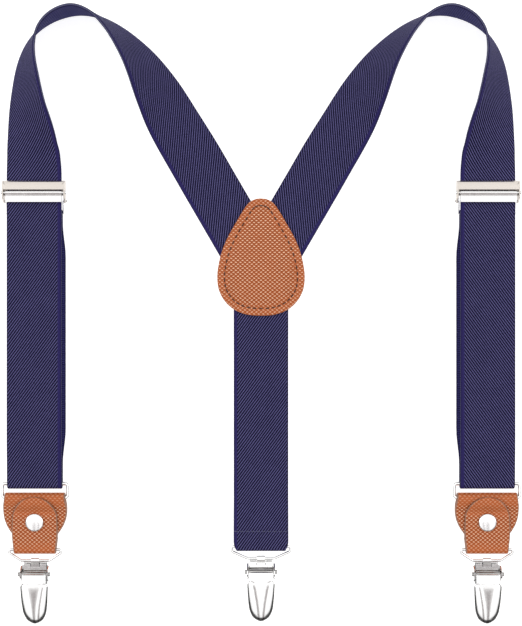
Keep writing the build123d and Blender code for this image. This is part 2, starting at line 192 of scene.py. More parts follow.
def strip(name, rows, thick, materials, round_by=0.45, top_count=11, mirror=False, grain=None,
          shape=None):
    """A flat strip through rows of (middle, across, outward, half width, length so far)."""
    verts, faces, slots, uvs, grains = [], [], [], [], []
    widest = max(row[3] for row in rows)
    profiles = [strip_profile(row[3], thick, round_by, top_count, widest) for row in rows]
    count = len(profiles[0])
    for i, (middle, across, outward, _, along) in enumerate(rows):
        for a, b, _, kind in profiles[i]:
            spot = middle + across * a + outward * b
            if shape:
                spot = shape(spot, kind, a, along)
            verts.append(spot)
            grains.append(grain[i] if grain else 1.0)
    for i in range(len(rows) - 1):
        for j in range(count):
            k = (j + 1) % count
            faces.append((i * count + j, i * count + k, (i + 1) * count + k, (i + 1) * count + j))
            kinds = (profiles[i][j][3], profiles[i][k][3])
            kind = kinds[0] if kinds[0] == kinds[1] else 1
            slots.append(kind)
            corner = []
            for row, col in ((i, j), (i, k), (i + 1, k), (i + 1, j)):
                a, _, u, own = profiles[row][col]
                if kind == 1 and own != 1:
                    # the edge band starts at the face's own end
                    t = 0 if own == 0 else 1
                    u = 2 * widest + thick * t if a > 0 else -thick * t
                corner.append((u, rows[row][4]))
            uvs.append(corner)
    for i in (0, len(rows) - 1):
        faces.append(tuple(range(i * count, (i + 1) * count)))
        slots.append(1)
        uvs.append([(2 * widest + thick / 2, rows[i][4])] * count)
    return make_mesh(name, verts, faces, materials, slots, uvs, grains, mirror)


def rows_of_side_path(path, x, half_of, shift_of=None):
    """Rows for a strip whose middle line is a side view of (y, z) points."""
    rows = []
    along = 0.0
    for i, (y, z) in enumerate(path):
        y0, z0 = path[max(i - 1, 0)]
        y1, z1 = path[min(i + 1, len(path) - 1)]
        length = math.hypot(y1 - y0, z1 - z0) or 1
        ty, tz = (y1 - y0) / length, (z1 - z0) / length
        if i:
            along += math.hypot(y - path[i - 1][0], z - path[i - 1][1])
        offset = shift_of(i, y, z) if shift_of else 0
        rows.append((Vector((x + offset, y + SHIFT, z)), Vector((1, 0, 0)), Vector((0, -tz, ty)),
                     half_of(i, y, z), along))
    return rows


def refined(path, step):
    """The same side-view path with no gap wider than step."""
    out = [path[0]]
    for p, q in zip(path, path[1:]):
        n = max(1, math.ceil(math.hypot(q[0] - p[0], q[1] - p[1]) / step))
        out += [(p[0] + (q[0] - p[0]) * k / n, p[1] + (q[1] - p[1]) * k / n) for k in range(1, n + 1)]
    return out


def tube(path, radius, sides, verts, faces, taper=0.6):
    """Adds a closed round bar along a few points to verts and faces."""
    base = len(verts)
    last = len(path) - 1
    for i, p in enumerate(path):
        heading = (path[min(i + 1, last)] - path[max(i - 1, 0)]).normalized()
        side = heading.cross(Vector((0, 0, 1)))
        side = side.normalized() if side.length > 1e-6 else Vector((1, 0, 0))
        up = side.cross(heading)
        r = radius * (taper if i in (0, last) else 1)
        for k in range(sides):
            a = 2 * math.pi * k / sides
            verts.append(p + side * (r * math.cos(a)) + up * (r * math.sin(a)))
    faces += ring_faces(last + 1, sides, base)
    faces.append(tuple(base + k for k in range(sides)))
    faces.append(tuple(base + last * sides + k for k in range(sides)))


# ---- materials


class Look:
    """A procedural material being built."""

    def __init__(self, name, roughness, metallic=0.0, **sockets):
        self.material = bpy.data.materials.new(name)
        self.material.use_nodes = True
        self.tree = self.material.node_tree
        self.shader = self.tree.nodes["Principled BSDF"]
        self.set(Roughness=roughness, Metallic=metallic)
        for key, value in sockets.items():
            self.shader.inputs[key.replace("_", " ")].default_value = value

    def set(self, **values):
        """Sockets of the shader, by name."""
        for key, value in values.items():
            self.put(value, self.shader.inputs[key.replace("_", " ")])

    def put(self, value, socket):
        """A value or another node's output into a socket."""
        if isinstance(value, bpy.types.NodeSocket):
            self.tree.links.new(value, socket)
        else:
            socket.default_value = value

    def node(self, kind, **props):
        made = self.tree.nodes.new(kind)
        for key, value in props.items():
            setattr(made, key, value)
        return made

    def math(self, operation, *values, clamp=False):
        made = self.node("ShaderNodeMath", operation=operation, use_clamp=clamp)
        for value, socket in zip(values, made.inputs):
            self.put(value, socket)
        return made.outputs[0]

    def times(self, a, b, clamp=False):
        return self.math("MULTIPLY", a, b, clamp=clamp)

    def mix(self, factor, a, b):
        made = self.node("ShaderNodeMix", data_type="RGBA")
        self.put(factor, made.inputs[0])
        self.put(a, made.inputs[6])
        self.put(b, made.inputs[7])
        return made.outputs[2]

    def strip_uv(self):
        """Across and along in mm."""
        uv = self.node("ShaderNodeUVMap", uv_map="strip")
        split = self.node("ShaderNodeSeparateXYZ")
        self.tree.links.new(uv.outputs[0], split.inputs[0])
        return split.outputs[0], split.outputs[1]

    def vector(self, x, y, z=0.0):
        made = self.node("ShaderNodeCombineXYZ")
        for value, socket in zip((x, y, z), made.inputs):
            self.put(value, socket)
        return made.outputs[0]

    def object_mm(self, stretch=(1, 1, 1)):
        """Place on the object in mm, stretched."""
        where = self.node("ShaderNodeTexCoord")
        scale = self.node("ShaderNodeVectorMath", operation="MULTIPLY")
        self.tree.links.new(where.outputs["Object"], scale.inputs[0])
        scale.inputs[1].default_value = [s / MM for s in stretch]
        return scale.outputs[0]

    def noise(self, vector, scale, detail=2.0):
        made = self.node("ShaderNodeTexNoise")
        self.put(vector, made.inputs["Vector"])
        made.inputs["Scale"].default_value = scale
        made.inputs["Detail"].default_value = detail
        return made.outputs["Fac"]

    def range(self, value, low, high, to_low, to_high, smooth=False):
        made = self.node("ShaderNodeMapRange", interpolation_type="SMOOTHSTEP" if smooth else "LINEAR")
        for v, socket in zip((value, low, high, to_low, to_high), made.inputs):
            self.put(v, socket)
        return made.outputs[0]

    def bump(self, height, depth_mm, strength=1.0):
        made = self.node("ShaderNodeBump")
        made.inputs["Strength"].default_value = strength
        made.inputs["Distance"].default_value = depth_mm * MM
        self.put(height, made.inputs["Height"])
        self.tree.links.new(made.outputs[0], self.shader.inputs["Normal"])

    def wave(self, phase):
        """0..1 for a phase counted in turns."""
        turned = self.math("MULTIPLY", phase, 2 * math.pi)
        return self.math("MULTIPLY_ADD", self.math("COSINE", turned), 0.5, 0.5)

    def grain(self):
        """How deep the leather's pattern is here, 0..1."""
        return self.node("ShaderNodeAttribute", attribute_name="grain").outputs["Fac"]


def rgb(r, g, b):
    return (r, g, b, 1.0)


# the twill's repeat in mm, across and along the strap
TWILL_ACROSS = 1.295
TWILL_ALONG = 1.78
BAND_FADE = 0.12
NAVY_GAP = rgb(0.001, 0.0006, 0.012)
NAVY_YARN = rgb(0.142, 0.130, 0.32)
NAVY_SELVEDGE = rgb(0.046, 0.036, 0.17)
SHEEN = dict(Sheen_Weight=0.03, Sheen_Roughness=0.4, Sheen_Tint=rgb(0.5, 0.5, 0.95),
             Specular_IOR_Level=0.06)


def webbing_face(name, low_band, high_band):
    """Outer side: diagonal twill of short warp floats, with a plain selvedge on either side."""
    look = Look(name, 0.75, **SHEEN)
    u, v = look.strip_uv()
    column = TWILL_ACROSS / 3
    index = look.math("FLOOR", look.math("DIVIDE", u, column))
    centre = look.times(look.math("ADD", index, 0.5), column)
    inside = look.math("FRACT", look.math("DIVIDE", u, column))
    stepped = look.math("ADD", look.times(centre, 0.6), look.times(u, 0.4))
    phase = look.math("SUBTRACT", look.math("DIVIDE", stepped, TWILL_ACROSS),
                      look.math("DIVIDE", v, TWILL_ALONG))
    line = look.wave(phase)
    crown = look.math("SUBTRACT", 1.0, look.math("POWER", look.math(
        "ABSOLUTE", look.math("MULTIPLY_ADD", inside, 2.0, -1.0)), 2.0))
    twill = look.times(look.math("POWER", line, 2.3),
                      look.math("MULTIPLY_ADD", crown, 0.35, 0.65))
    # selvedge: fine ribs along the strap
    rib = look.times(look.wave(look.math("DIVIDE", u, 0.62)),
                    look.math("MULTIPLY_ADD", look.wave(look.math("DIVIDE", v, 0.55)), 0.4, 0.6))
    plain = look.math("MULTIPLY_ADD", rib, 0.32, 0.12)
    high_start = WEB_WIDTH - high_band
    band = look.math("ADD", look.range(u, low_band - BAND_FADE, low_band + BAND_FADE, 1, 0),
                     look.range(u, high_start - BAND_FADE, high_start + BAND_FADE, 0, 1), clamp=True)
    height = look.math("ADD", look.times(plain, band),
                       look.times(twill, look.math("SUBTRACT", 1.0, band)))
    uneven = look.noise(look.vector(look.times(u, 2.3), look.times(v, 0.9)), 1.0)
    broad = look.noise(look.vector(u, v), 0.09, 3.0)
    tone = look.times(height, look.math("MULTIPLY_ADD", uneven, 0.9, 0.55), clamp=True)
    tone = look.times(tone, look.math("MULTIPLY_ADD", broad, 0.3, 0.85), clamp=True)
    colour = look.mix(tone, NAVY_GAP, NAVY_YARN)
    ribbed = look.mix(look.times(plain, 2.2, clamp=True), NAVY_GAP, NAVY_SELVEDGE)
    look.set(Base_Color=look.mix(band, colour, ribbed))
    look.bump(height, 0.3, 0.9)
    return look.material


def webbing_reverse():
    """Reverse side: cross ribs over the elastic."""
    look = Look("navy_webbing_reverse", 0.8, **SHEEN)
    u, v = look.strip_uv()
    rib = look.wave(look.math("DIVIDE", v, 1.02))
    stitch = look.wave(look.math("DIVIDE", u, 0.52))
    height = look.math("ADD", look.times(rib, 0.7), look.times(stitch, 0.3))
    uneven = look.noise(look.vector(u, v), 1.4)
    tone = look.times(height, look.math("MULTIPLY_ADD", uneven, 0.7, 0.3), clamp=True)
    look.set(Base_Color=look.mix(tone, rgb(0.008, 0.006, 0.045), rgb(0.075, 0.072, 0.26)))
    look.bump(height, 0.22, 0.8)
    return look.material


def webbing_edge():
    """Cut thickness of the webbing: dark, with a paler line of filling yarn along its middle."""
    look = Look("navy_webbing_edge", 0.85, **SHEEN)
    u, v = look.strip_uv()
    past = look.math("MAXIMUM", look.math("SUBTRACT", u, WEB_WIDTH), look.times(u, -1.0))
    middle = look.math("ABSOLUTE", look.math("SUBTRACT", look.math("DIVIDE", past, WEB_THICK), 0.5))
    core = look.range(middle, 0.08, 0.3, 1, 0, smooth=True)
    loops = look.wave(look.math("DIVIDE", v, 0.89))
    tone = look.times(core, look.math("MULTIPLY_ADD", loops, 0.45, 0.55))
    look.set(Base_Color=look.mix(tone, rgb(0.010, 0.007, 0.038), rgb(0.11, 0.11, 0.2)))
    look.bump(look.math("ADD", loops, core), 0.15, 0.7)
    return look.material


# the embossing's strokes in mm: height of a row and distance between strokes in it
STROKE_ROW = 0.92
STROKE_PITCH = 2.12
LEATHER_GROOVE = rgb(0.30, 0.065, 0.012)
LEATHER_BASE = rgb(0.46, 0.110, 0.026)
# cream colour on the pattern's crests: a painted glint
LEATHER_PAINTED_GLINT = rgb(1.0, 0.67, 0.47)


def leather_face(name, gloss, glint):
    """Grain side, embossed in rows of slanted strokes that lean left and right by turns."""
    look = Look(name, 0.4, Specular_IOR_Level=0.22)
    u, v = look.strip_uv()
    # every other row is shifted by half a stroke and leans the other way
    turns = look.math("DIVIDE", v, STROKE_ROW)
    odd = look.math("FLOORED_MODULO", look.math("FLOOR", turns), 2.0)
    inside = look.math("SUBTRACT", look.math("FRACT", turns), 0.5)
    lean = look.times(inside, look.math("MULTIPLY_ADD", odd, 0.56, -0.28))
    phase = look.math("ADD", look.math("DIVIDE", u, STROKE_PITCH),
                      look.math("MULTIPLY_ADD", odd, 0.5, lean))
    stroke = look.math("POWER", look.wave(phase), 1.3)
    row = look.wave(inside)
    pattern = look.times(stroke, look.math("MULTIPLY_ADD", row, 0.7, 0.3))
    grain = look.grain()
    emboss = look.times(pattern, grain)
    flat = look.math("MULTIPLY_ADD", grain, -0.42, 0.42)
    height = look.math("ADD", emboss, flat)
    pores = look.noise(look.vector(u, v), 4.0, 4.0)
    broad = look.noise(look.vector(u, v), 0.16, 3.0)
    height = look.math("MULTIPLY_ADD", pores, 0.10, height)
    colour = look.mix(look.times(height, 2.0, clamp=True), LEATHER_GROOVE, LEATHER_BASE)
    # the crests turn cream: a painted glint, patchy with the broad noise
    painted_glint = look.times(look.range(height, 0.42, 0.8, 0, glint),
                     look.range(broad, 0.3, 0.6, 0.55, 1.0))
    colour = look.mix(painted_glint, colour, LEATHER_PAINTED_GLINT)
    colour = look.mix(look.range(broad, 0.45, 0.8, 0.0, 0.35), colour, LEATHER_GROOVE)
    look.set(Base_Color=colour, Roughness=look.range(height, 0.1, 0.9, gloss + 0.18, gloss))
    look.bump(height, 0.26, 0.9)
    return look.material


def leather_edge():
    """Cut edge, burnished with a greyish brown dressing."""
    look = Look("tan_leather_edge", 0.45)
    layers = look.noise(look.object_mm((0.25, 0.25, 6)), 1.0, 2.0)
    fibre = look.noise(look.object_mm(), 2.2, 4.0)
    tone = look.math("MULTIPLY_ADD", fibre, 0.6, look.times(layers, 0.4), clamp=True)
    look.set(Base_Color=look.mix(tone, rgb(0.16, 0.055, 0.026), rgb(0.42, 0.22, 0.14)))
    look.bump(tone, 0.12, 0.6)
    return look.material


def leather_back():
    """Flesh side: matt and fibrous."""
    look = Look("tan_leather_flesh", 0.85)
    fibre = look.noise(look.object_mm(), 1.6, 5.0)
    broad = look.noise(look.object_mm(), 0.2, 2.0)
    tone = look.math("MULTIPLY_ADD", fibre, 0.7, look.times(broad, 0.3), clamp=True)
    look.set(Base_Color=look.mix(tone, rgb(0.25, 0.10, 0.05), rgb(0.5, 0.27, 0.16)))
    look.bump(fibre, 0.15, 0.6)
    return look.material


def metal(name, colour, rough_low, rough_high, scratch_mm=0.01):
    """Plated steel with faint polishing lines and handling marks."""
    look = Look(name, rough_low, metallic=1.0)
    lines = look.noise(look.object_mm((0.15, 3.0, 0.15)), 1.0, 3.0)
    marks = look.noise(look.object_mm(), 0.55, 4.0)
    wear = look.math("MULTIPLY_ADD", lines, 0.5, look.times(marks, 0.5), clamp=True)
    dull = tuple(c * 0.9 for c in colour[:3]) + (1.0,)
    look.set(Base_Color=look.mix(wear, dull, colour),
             Roughness=look.range(wear, 0.3, 0.7, rough_low, rough_high))
    look.bump(lines, scratch_mm, 0.5)
    return look.material


def thread(name, dark, light):
    """Twisted sewing thread."""
    look = Look(name, 0.6, Sheen_Weight=0.2)
    twist = look.node("ShaderNodeTexWave", wave_type="BANDS", bands_direction="DIAGONAL")
    look.put(look.object_mm(), twist.inputs["Vector"])
    twist.inputs["Scale"].default_value = 1.2
    fuzz = look.noise(look.object_mm(), 5.0, 3.0)
    tone = look.math("MULTIPLY_ADD", fuzz, 0.3, look.times(twist.outputs["Fac"], 0.7),
                     clamp=True)
    look.set(Base_Color=look.mix(tone, dark, light))
    look.bump(tone, 0.08, 0.8)
    return look.material


def plastic():
    """The pads inside the clips' jaws."""
    look = Look("dark_plastic_grip", 0.5)
    speck = look.noise(look.object_mm(), 3.0, 4.0)
    look.set(Base_Color=look.mix(speck, rgb(0.02, 0.02, 0.022), rgb(0.07, 0.07, 0.075)),
             Roughness=look.range(speck, 0.3, 0.7, 0.4, 0.6))
    look.bump(speck, 0.05, 0.6)
    return look.material


strap_face = webbing_face("navy_twill_strap", low_band=0.45, high_band=1.8)
tail_face = webbing_face("navy_twill_tail", low_band=1.6, high_band=0.45)
strap_back = webbing_reverse()
strap_edge = webbing_edge()
tab_grain = leather_face("tan_leather_tab", gloss=0.36, glint=0.9)
patch_grain = leather_face("tan_leather_patch", gloss=0.32, glint=1.0)
cut_edge = leather_edge()
flesh = leather_back()
nickel = metal("nickel_polished", rgb(0.95, 0.945, 0.94), 0.08, 0.16)
# warm tan colour: a painted reflection on the adjuster's top band; its roughness is the satin finish
satin_painted_reflection = metal("nickel_satin_painted_reflection", rgb(0.67, 0.62, 0.57), 0.26, 0.40, 0.03)
rivet_nickel = metal("nickel_rivet", rgb(0.95, 0.94, 0.94), 0.20, 0.28)
# darker steel: painted shade on the clips' knuckles and pins
painted_shade_steel = metal("steel_painted_shade", rgb(0.42, 0.41, 0.40), 0.25, 0.35)
# near black steel: painted shade for the clips' deep recesses
recess_painted_shade = metal("steel_recess_painted_shade", rgb(0.05, 0.05, 0.05), 0.45, 0.6)
patch_thread = thread("thread_dark_brown", rgb(0.03, 0.006, 0.003), rgb(0.10, 0.03, 0.015))
navy_thread = thread("thread_navy", rgb(0.008, 0.006, 0.035), rgb(0.09, 0.09, 0.2))
grip = plastic()
WEBBING = [strap_face, strap_edge, strap_back]
TAIL = [tail_face, strap_edge, strap_back]


# ---- webbing

outer_x = front_x - WEB_HALF
# the strap's outer edge, from the ring over the shoulder to the patch:
# x, y, roll in degrees about that edge, and its height off the table
STATIONS = [
    (outer_x, -79.1, 0, 3.4), (outer_x, -70, 0, 3.6), (outer_x, -58, 0, 4), (outer_x, -20, 0, 4),
    (outer_x, 20, 0, 4), (outer_x, 56, 0, 4), (outer_x, 64, 0, 4), (outer_x, 71, 7, 3.0),
    (outer_x, 80, 19, 1.5), (-116.4, 98, 43, 0.2), (-113.0, 116, 61, 0), (-106.9, 128, 74, 0),
    (-98.0, 135.2, 84, 0), (-87.0, 138.8, 88, 0), (-77.0, 138.2, 84, 0), (-67.0, 134.0, 75, 0),
    (-57.0, 127.1, 63, 0), (-47.6, 118.4, 49, 0), (-38.0, 106.6, 31, 0.1), (-29.4, 93.4, 16, 0.3),
    (-20.6, 79.4, 6, 0.8), (-11.7, 64.1, 0, 1.35), (0.0, 44.0, 0, 1.35), (11.9, 23.5, 0, 1.35),
]
JOIN_Y = -74.0  # where the front layer and the return layer meet, below the ring's fold


def shoulder_rows():
    """From the return layer below the ring, round the ring, up the front and over the shoulder."""
    ring = (ring_bar.y - SHIFT, ring_bar.z)
    fold = [(JOIN_Y, ON_TABLE)] + arc(ring, 1.70, 270, 90)
    rows = rows_of_side_path(refined(fold, 1.0), front_x, lambda i, y, z: WEB_HALF)
    along = rows[-1][4]
    run = curve_through(STATIONS, 10)
    last_middle = rows[-1][0]
    for i, (x, y, roll, lift) in enumerate(run):
        hx = run[min(i + 1, len(run) - 1)][0] - run[max(i - 1, 0)][0]
        hy = run[min(i + 1, len(run) - 1)][1] - run[max(i - 1, 0)][1]
        heading = Vector((hx, hy, 0)).normalized()
        inward = Vector((heading.y, -heading.x, 0))
        c, s = math.cos(math.radians(roll)), math.sin(math.radians(roll))
        across = inward * c + Vector((0, 0, s))
        edge = Vector((x, y + SHIFT, max(lift, 0) + WEB_THICK / 2 * c))
        middle = edge + across * WEB_HALF
        if i and (middle - last_middle).length < 0.05:
            continue
        along += (middle - last_middle).length
        last_middle = middle
        rows.append((middle, across, across.cross(heading), WEB_HALF, along))
    return rows


def front_webbing(side):
    """The layer in front, over the shoulder and down to the patch."""
    rows = shoulder_rows()
    piece = strip(f"{side}_shoulder_webbing", rows, WEB_THICK, WEBBING, mirror=side == "right", top_count=13)
    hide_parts(f"{side}_strap")
    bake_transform(piece)


def return_webbing(side):
    """Behind the front layer: from the sewn end, round the adjuster's wire, down to the ring."""
    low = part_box(f"{side}_adjuster_loop")[0] / MM
    wire_radius = 0.5
    wire = (low.y + wire_radius - SHIFT, low.z + wire_radius)
    path = curve_through([(38.0, 1.98), (40.4, 1.98), (41.8, 2.1), (43.4, 2.5), (45.0, 2.95)], 3)
    path += arc(wire, 1.20, 90, -90)
    path += [(JOIN_Y, ON_TABLE)]

    def aside(i, y, z):
        # between its ends this layer lies a little beside the front one
        return 1.35 * smoothstep(JOIN_Y + 4, JOIN_Y + 20, y) * (1 - smoothstep(26, 42, y))

    rows = rows_of_side_path(refined(path, 3.0), front_x, lambda i, y, z: WEB_HALF, shift_of=aside)
    piece = strip(f"{side}_return_webbing", rows, WEB_THICK, WEBBING, mirror=side == "right", top_count=9)
    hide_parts(f"{side}_strap_return")
    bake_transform(piece)


def back_path():
    """Side view of the back strap: sewn end, round the clip's wire, up to the patch."""
    wire = (back_fold.y - SHIFT, back_fold.z)
    path = [(-99.0, ON_TABLE)] + arc(wire, 1.45, 270, 90)
    path += curve_through([(-102, 3.55), (-98.0, 3.55), (-93.5, 2.6), (-88.5, 1.1), (-86.5, 0.72),
                           (-85, ON_TABLE), (-84, ON_TABLE)], 4)
    path += curve_through([(-22, ON_TABLE), (-12, 1.1), (-4, 1.9), (8, 2.0), (19.5, 2.0)], 6)
    return refined(path, 3.0)


def back_webbing():
    """The back strap, narrowed where it turns round the clip's wire."""
    def half(i, y, z):
        return WEB_HALF - 1.3 * (1 - smoothstep(-110.4, -107.2, y))

    rows = rows_of_side_path(back_path(), 0.0, half)
    piece = strip("back_webbing", rows, WEB_THICK, TAIL, top_count=13)
    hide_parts("back_strap", "back_strap_end")
    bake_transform(piece)


# one stitch from end to end: along the seam, above the surface
STITCH_BOW = [(-0.95, -0.10), (-0.57, 0.12), (0, 0.17), (0.57, 0.12), (0.95, -0.10)]


def stitch_line(name, body, node, material, points):
    """A row of thread bars; points are (middle, direction) pairs on the surface."""
    verts, faces = [], []
    for middle, direction in points:
        path = [middle + direction * along + Vector((0, 0, up)) for along, up in STITCH_BOW]
        tube(path, 0.24, 8, verts, faces)
    piece = make_mesh(name, verts, faces, [material], sharp_deg=60)
    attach(piece, body)
    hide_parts(node)


for side in ("left", "right"):
    front_webbing(side)
    return_webbing(side)
back_webbing()

SEAM_HALF = 11.4
SEAM_STITCHES = 10
seam_points = [(Vector((SEAM_HALF * (2 * k / (SEAM_STITCHES - 1) - 1), -101.1 + SHIFT, 4.16)),
                Vector((1, 0, 0))) for k in range(SEAM_STITCHES)]
stitch_line("back_strap_sewing", "back_end", "back_strap_stitches", navy_thread, seam_points)


# ---- leather tabs

# half width of the wide part over the ring, by y
LOBE = [(-82.0, 13.9), (-85.2, 14.0), (-87.2, 14.3), (-89.2, 14.7), (-91.2, 14.8), (-93.4, 14.7),
        (-96.0, 14.2), (-98.8, 13.1), (-101.3, 11.6), (-102.6, 10.5), (-103.4, 10.3)]
TAB_TIP_Y = -85.1
TAB_HALF = 10.5
TIP_CENTRE = TAB_TIP_Y - TAB_HALF
RIVET_Y = -97.0
RIVET_RADIUS = 4.2


def tongue_half(y):
    """Half width of the narrow part, with its round tip."""
    if y > TIP_CENTRE:
        return max(math.sqrt(max(TAB_HALF ** 2 - (y - TIP_CENTRE) ** 2, 0)), 0.35)
    return between([(-112, 9.8), (-108.5, 9.9), (-105, 10.4), (-101, 10.65), (TIP_CENTRE, 10.5)], y)


def leather_tab(side):
    """One folded piece: lobe, ring, down behind, clip's wire, tongue in front."""
    ring_wire = (tab_bar.y - SHIFT, tab_bar.z)
    clip_wire = (tab_fold.y - SHIFT, tab_fold.z)
    lobe_run = curve_through([(-103.4, 1.97), (-99.0, 1.97), (-93.2, 1.99), (-90.9, 2.4),
                              (-88.9, 3.22), (-87.2, 3.88)], 5)
    round_ring = arc(ring_wire, 1.65, 90, -90)
    behind = refined([(-87.0, 0.70), (-109.0, 0.70)], 1.0)
    round_clip = arc(clip_wire, 1.4, -90, -270)
    tip_run = curve_through([(-105.0, 3.42), (-101.0, 3.26), (-96.0, 3.24), (-92.5, 3.25),
                             (-90.8, 3.88), (-89.1, 4.74), (-87.6, 5.25), (-86.4, 5.38)], 6)
    tip_end = [(TIP_CENTRE + TAB_HALF * math.sin(math.radians(a)), 5.38)
               for a in (66, 70, 74, 78, 82, 85, 87.5, 89)]
    parts = [("lobe", refined(lobe_run, 0.8)), ("lobe", round_ring), ("behind", behind),
             ("fold", round_clip), ("tongue", refined(tip_run, 0.6)), ("tongue", tip_end)]
    path, kinds = [], []
    for kind, run in parts:
        for p in run:
            if kind == "tongue" and path and path[-1][0] > p[0] and kinds[-1] == "tongue":
                continue
            path.append(p)
            kinds.append(kind)

    def half(i, y, z):
        kind = kinds[i]
        if kind == "lobe":
            return between(LOBE, y)
        if kind == "behind":
            return between(LOBE + [(-105, 10.4), (-109, 9.9)], y)
        return tongue_half(y)

    rows = rows_of_side_path(path, front_x, half)
    grain = []
    for i, (y, z) in enumerate(path):
        fade = 1.0
        if kinds[i] == "fold":
            fade = 0.25
        if kinds[i] == "tongue":
            fade = 0.25 + 0.75 * smoothstep(-107.2, -104.6, y)
            fade *= 1 - 0.75 * smoothstep(-95.5, -92.5, y)
        if kinds[i] == "lobe":
            fade = 1 - 0.8 * smoothstep(-90.5, -88, y)
        grain.append(fade)

    def shape(spot, kind, a, along):
        """The rivet pulls the leather down round it; the tip stays thick and soft."""
        index = min(range(len(rows)), key=lambda k: abs(rows[k][4] - along))
        dip = 0.0
        if kinds[index] == "tongue":
            away = math.hypot(a, spot.y - SHIFT - RIVET_Y) - RIVET_RADIUS
            dip = -0.22 * math.exp(-(max(away, 0) / 2.2) ** 2)
            dip += 0.18 * math.exp(-((away - 4) / 1.8) ** 2)
        return spot + Vector((0, 0, dip))

    piece = strip(f"{side}_tab_leather", rows, LEATHER, [tab_grain, cut_edge, flesh], round_by=0.5,
                  top_count=15, mirror=side == "right", grain=grain, shape=shape)
    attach(piece, f"{side}_tab")
    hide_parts(f"{side}_leather_tab")


def lathe(name, profile, centre, material, steps=64):
    """A turned piece; profile is (radius, z) from axis to axis."""
    verts, faces = [], []
    ring_start = []
    for r, z in profile:
        ring_start.append(len(verts))
        count = 1 if r < 1e-6 else steps
        for k in range(count):
            a = 2 * math.pi * k / steps
            verts.append(Vector((centre[0] + r * math.cos(a), centre[1] + r * math.sin(a), z)))
    for i in range(len(profile) - 1):
        a, b = ring_start[i], ring_start[i + 1]
        one_a, one_b = profile[i][0] < 1e-6, profile[i + 1][0] < 1e-6
        for k in range(steps):
            m = (k + 1) % steps
            if one_a:
                faces.append((a, b + m, b + k))
            elif one_b:
                faces.append((a + k, a + m, b))
            else:
                faces.append((a + k, a + m, b + m, b + k))
    return make_mesh(name, verts, faces, [material], sharp_deg=50)


def rivet(side):
    """Domed cap with its post."""
    x = -front_x if side == "right" else front_x
    dome = [(RIVET_RADIUS * math.cos(t), 4.25 + 1.12 * math.sin(t)) for t in
            [math.radians(d) for d in (8, 16, 24, 32, 40, 48, 56, 64, 72, 80, 86)]]
    profile = [(0, 0.3), (1.5, 0.3), (1.5, 3.85), (3.95, 3.85), (4.12, 3.92), (RIVET_RADIUS, 4.08)]
    profile += dome + [(0, 5.37)]
    piece = lathe(f"{side}_rivet_head", profile, (x, RIVET_Y + SHIFT), rivet_nickel)
    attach(piece, f"{side}_tab")
    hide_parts(f"{side}_rivet_cap")


for side in ("left", "right"):
    leather_tab(side)
    rivet(side)


# ---- back patch

# one side of the egg-shaped outline, from its top to its foot
PATCH_SIDE = [(0, 53.2), (3.5, 52.5), (6.8, 49.8), (11.4, 42.4), (15.9, 34.2), (18.8, 26.4),
              (20.3, 18.0), (19.6, 10.8), (16.6, 5.2), (12.2, 1.4), (6.4, -0.8), (0, -1.3)]
PATCH_STEPS = 184
STITCHES = 46
STITCH_INSET = 3.4
PATCH_MIDDLE = Vector((0, 22.5))


def closed_outline(points, count):
    """Even points on a smooth closed curve."""
    n = len(points)
    run = []
    for i in range(n):
        four = [points[(i + k - 1) % n] for k in range(4)]
        run += [Vector(spline(four, k / 24)) for k in range(24)]
    lengths = [0.0]
    for p, q in zip(run, run[1:] + run[:1]):
        lengths.append(lengths[-1] + (q - p).length)
    out = []
    j = 0
    for k in range(count):
        target = lengths[-1] * k / count
        while lengths[j + 1] < target:
            j += 1
        t = (target - lengths[j]) / (lengths[j + 1] - lengths[j])
        out.append(run[j].lerp(run[(j + 1) % len(run)], t))
    return out


outline = closed_outline(PATCH_SIDE + [(-x, y) for x, y in PATCH_SIDE[-2:0:-1]], PATCH_STEPS)


def outline_at(inset):
    """The outline moved in by a distance, as points."""
    out = []
    n = len(outline)
    for k, p in enumerate(outline):
        heading = (outline[(k + 2) % n] - outline[(k - 2) % n]).normalized()
        inward = Vector((heading.y, -heading.x))
        out.append(p + inward * inset)
    return out


def strap_cover(x, y):
    """1 where a strap lies under the leather, 0 beside it."""
    heading = Vector((0.5, -0.866))
    inward = Vector((heading.y, -heading.x))
    best = -9.0
    for side in (1, -1):
        p = Vector((side * x, y)) - Vector((0, 44.0))
        away = p.dot(inward)
        best = max(best, min(away, WEB_WIDTH - away, y - 17))
    best = max(best, min(WEB_WIDTH / 2 - abs(x), 22 - y))
    return smoothstep(-2.6, 2.0, best)


def patch_top(x, y):
    """Height of the front leather's outer face away from its edge."""
    return 2.95 + 1.05 * strap_cover(x, y)


